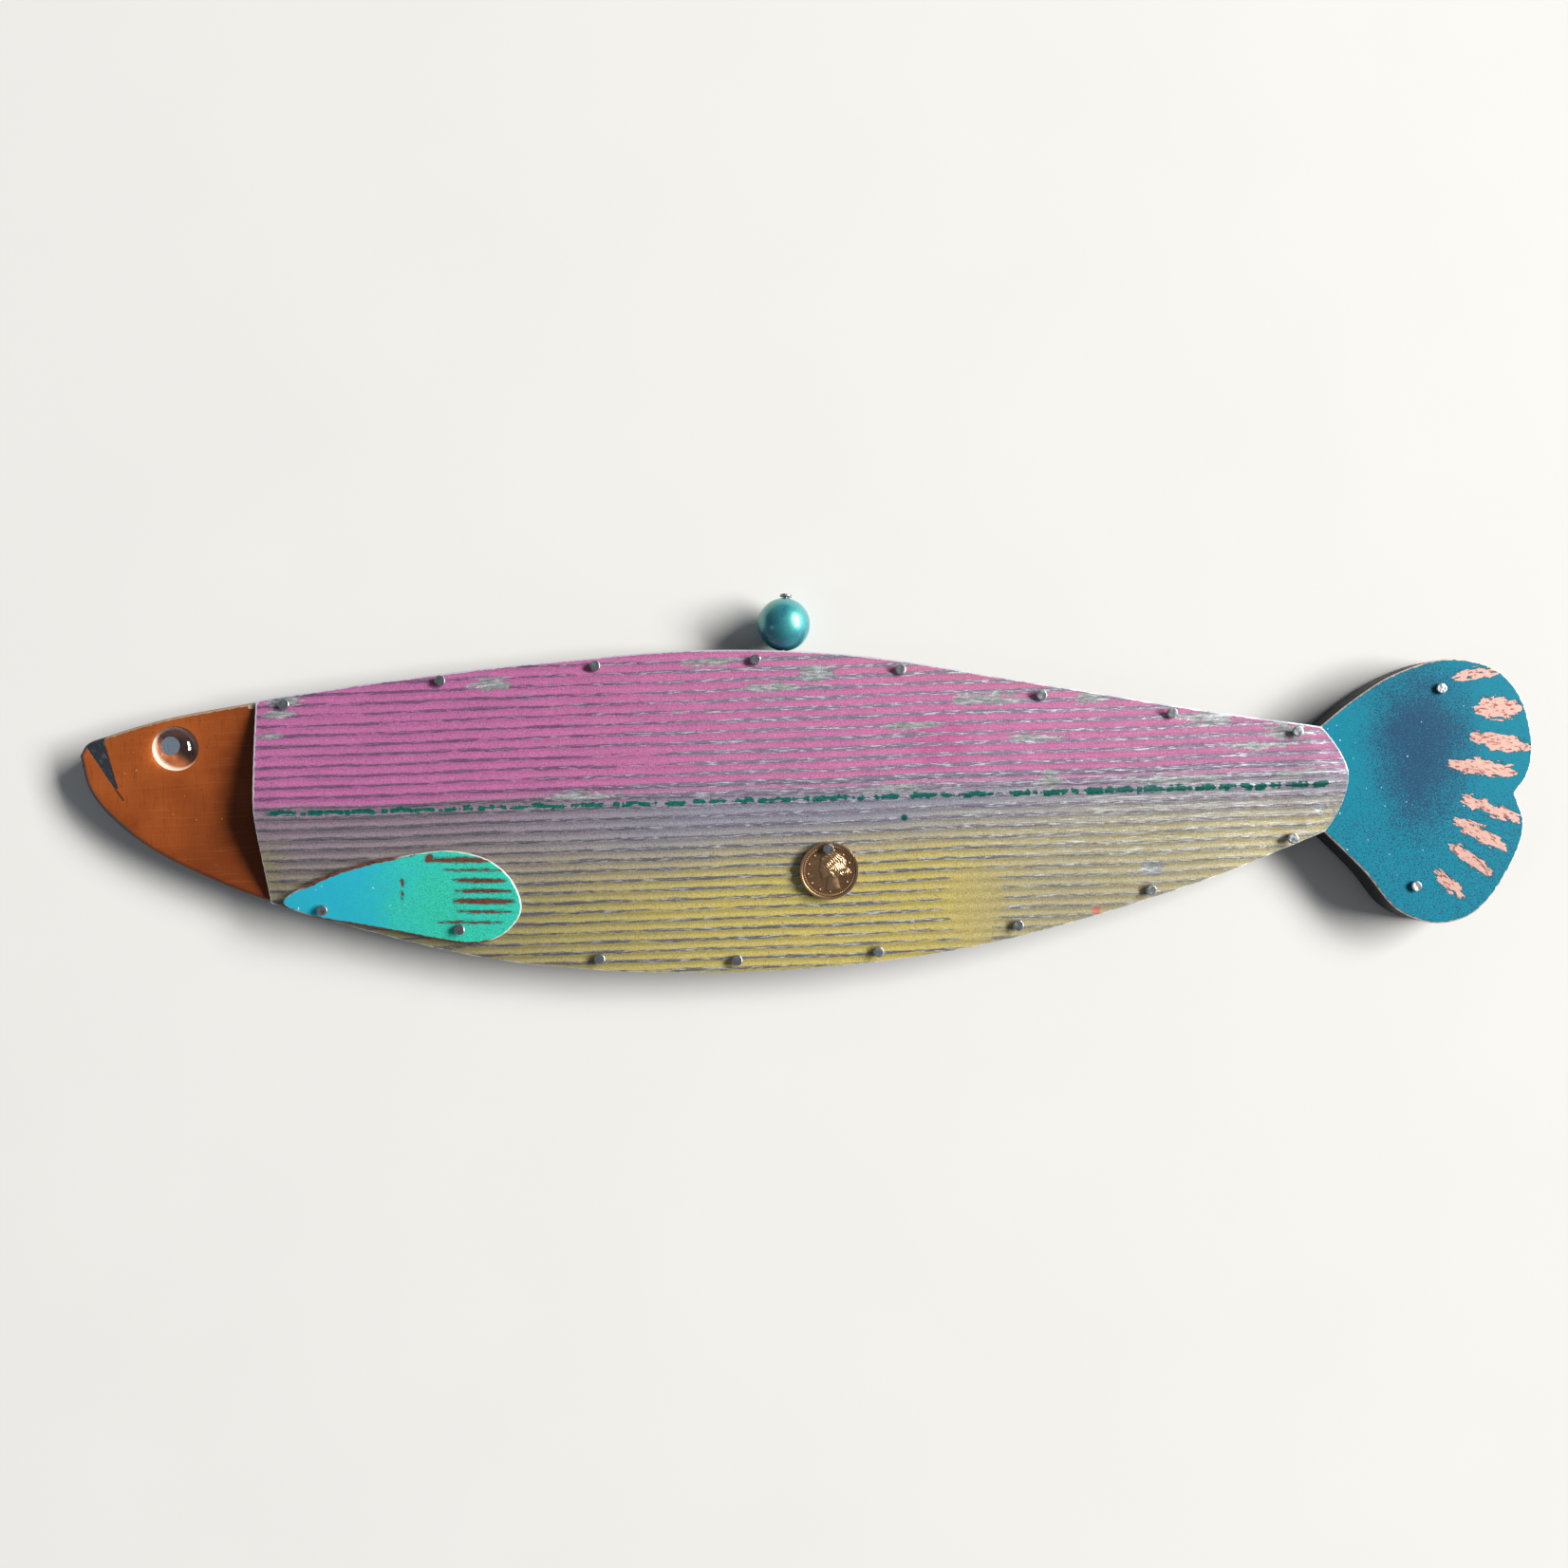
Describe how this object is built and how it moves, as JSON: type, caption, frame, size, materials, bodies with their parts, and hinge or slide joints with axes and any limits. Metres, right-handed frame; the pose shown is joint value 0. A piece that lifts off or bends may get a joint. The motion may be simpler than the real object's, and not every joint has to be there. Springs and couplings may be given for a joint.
{
  "type": "fish wall plaque",
  "caption": "Flat-backed fish wall plaque: painted board, ribbed ridged tin body nailed at its edges, metal fin and tail, glass eye, spinning bead and swinging coin charm.",
  "frame": {"origin": "on the flat back face of the board, midway from snout to tail end, under the ridge line of the tin", "axes": "+X from snout to tail along the ribs, +Y towards the fish's back, +Z out of the decorated face"},
  "size_m": [0.3835, 0.0996, 0.0189],
  "materials": {
    "head_paint": "brushed satin paint over wood, edges rubbed",
    "ribbed_tin": "thin paint over ribbed tin, worn on the rib crests",
    "tail_enamel": "speckled satin enamel, scratched to copper",
    "fin_enamel": "satin enamel, scratched and chipped to copper",
    "eye_glass": "clear polished",
    "pearl": "pearl lacquer",
    "nail_steel": "dull, hammered",
    "coin_gold": "stamped, half bright",
    "hanger_brass": "thin plated strip"
  },
  "bodies": {
    "fish": {"board": "head_paint", "body_tin": "ribbed_tin", "tail_plate": "tail_enamel", "pectoral_fin": "fin_enamel", "eye_glass": "eye_glass", "bead_nail": "nail_steel", "coin_nail": "nail_steel", "back_nail_1": "nail_steel", "back_nail_2": "nail_steel", "back_nail_3": "nail_steel", "back_nail_4": "nail_steel", "back_nail_5": "nail_steel", "back_nail_6": "nail_steel", "back_nail_7": "nail_steel", "back_nail_8": "nail_steel", "belly_nail_1": "nail_steel", "belly_nail_2": "nail_steel", "belly_nail_3": "nail_steel", "belly_nail_4": "nail_steel", "belly_nail_5": "nail_steel", "belly_nail_6": "nail_steel", "fin_nail_1": "nail_steel", "fin_nail_2": "nail_steel", "tail_nail_1": "nail_steel", "tail_nail_2": "nail_steel", "hanger_strip": "hanger_brass", "hanger_pin_1": "hanger_brass", "hanger_pin_2": "hanger_brass"},
    "bead": {"pearl_bead": "pearl"},
    "coin": {"coin_charm": "coin_gold"}
  },
  "joints": [
    {"name": "bead_spin", "type": "hinge", "parent": "fish", "child": "bead", "pos_m": [-0.00431, 0.04431, 0.0071], "axis": [0.1045, 0.9945, 0], "continuous": true},
    {"name": "coin_swing", "type": "hinge", "parent": "fish", "child": "coin", "pos_m": [0.00512, -0.01493, 0.01789], "axis": [0.01, -0.1764, 0.9843], "continuous": true}
  ]
}
